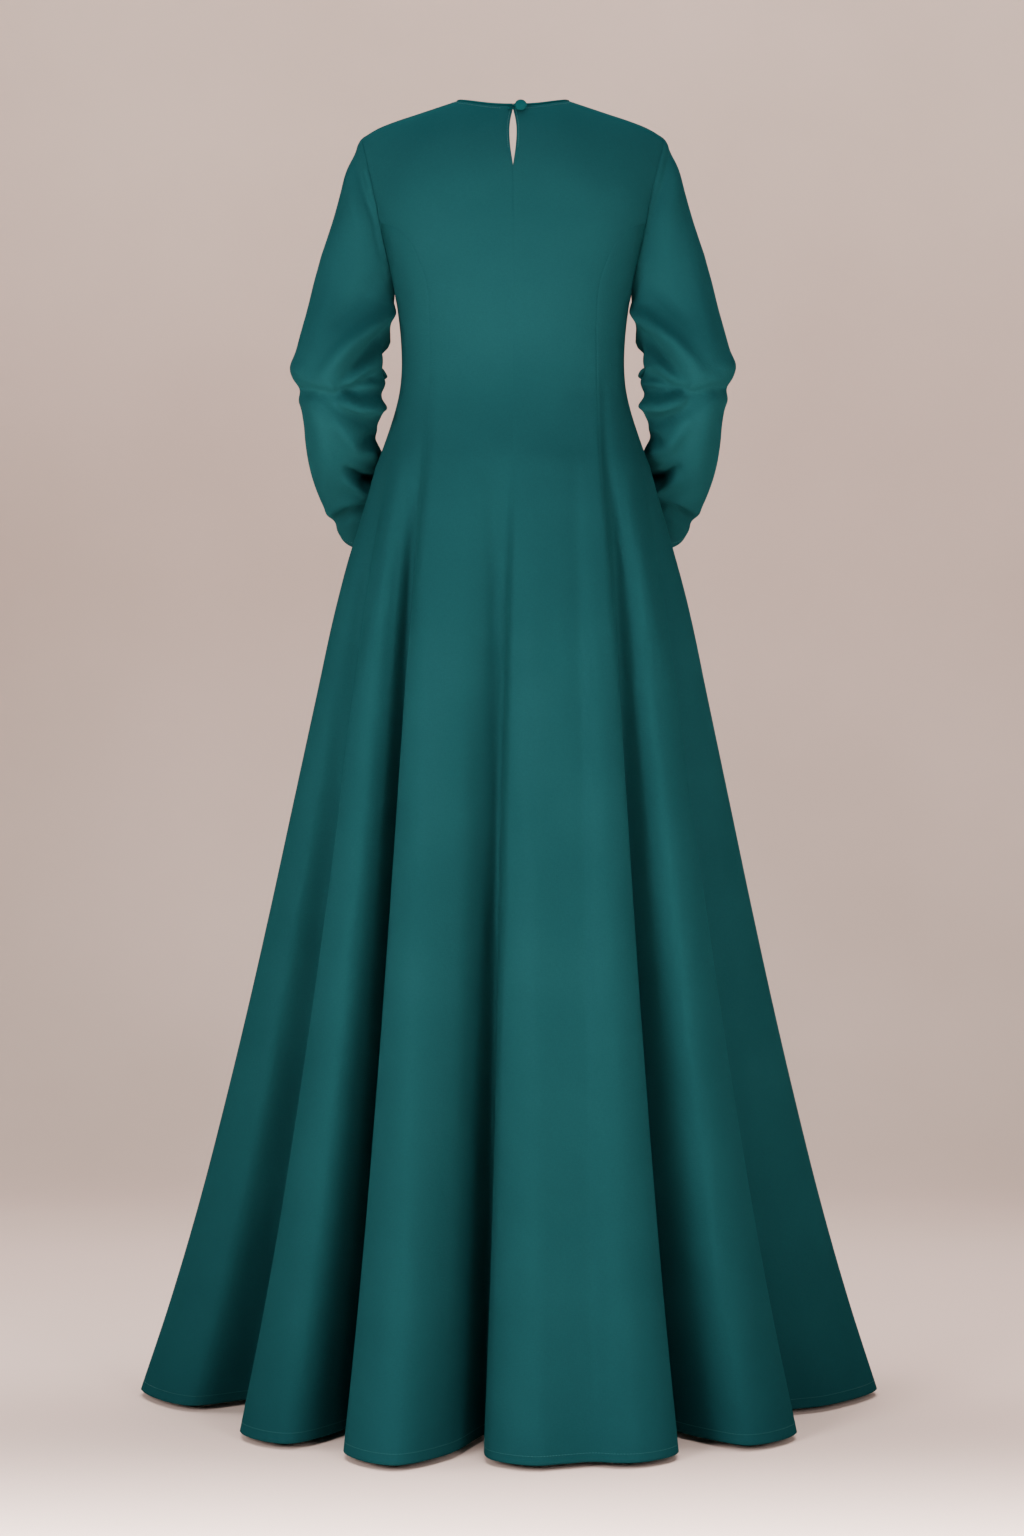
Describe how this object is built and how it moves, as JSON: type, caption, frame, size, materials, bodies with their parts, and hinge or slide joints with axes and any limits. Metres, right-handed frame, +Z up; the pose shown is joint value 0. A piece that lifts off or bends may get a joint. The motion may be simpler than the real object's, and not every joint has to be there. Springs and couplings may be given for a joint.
{
  "type": "abaya",
  "caption": "Closed full-length abaya with round neck, keyhole back with covered button, long set-in sleeves, princess seams and a deeply folded flared skirt, standing hollow as worn.",
  "frame": {"origin": "middle of the neck opening, level with the shoulder seams' neck ends, where the wearer's shoulders hold the garment up", "axes": "+Z up, +Y the way the wearer faces, +X towards the wearer's right"},
  "size_m": [0.839, 0.831, 1.4682],
  "materials": {
    "crepe": "matte crepe with a faint satin sheen, dark teal",
    "binding": "the same crepe, folded over the neck edge",
    "button_cover": "the same crepe, stretched smooth over the button",
    "loop_cord": "rolled crepe loop"
  },
  "bodies": {
    "root": {"back_left": "crepe", "back_right": "crepe", "side_back_left": "crepe", "side_back_right": "crepe", "front": "crepe", "side_front_left": "crepe", "side_front_right": "crepe", "sleeve_left": "crepe", "sleeve_right": "crepe", "neck_binding": "binding", "button": "button_cover", "button_loop": "loop_cord"}
  },
  "joints": []
}
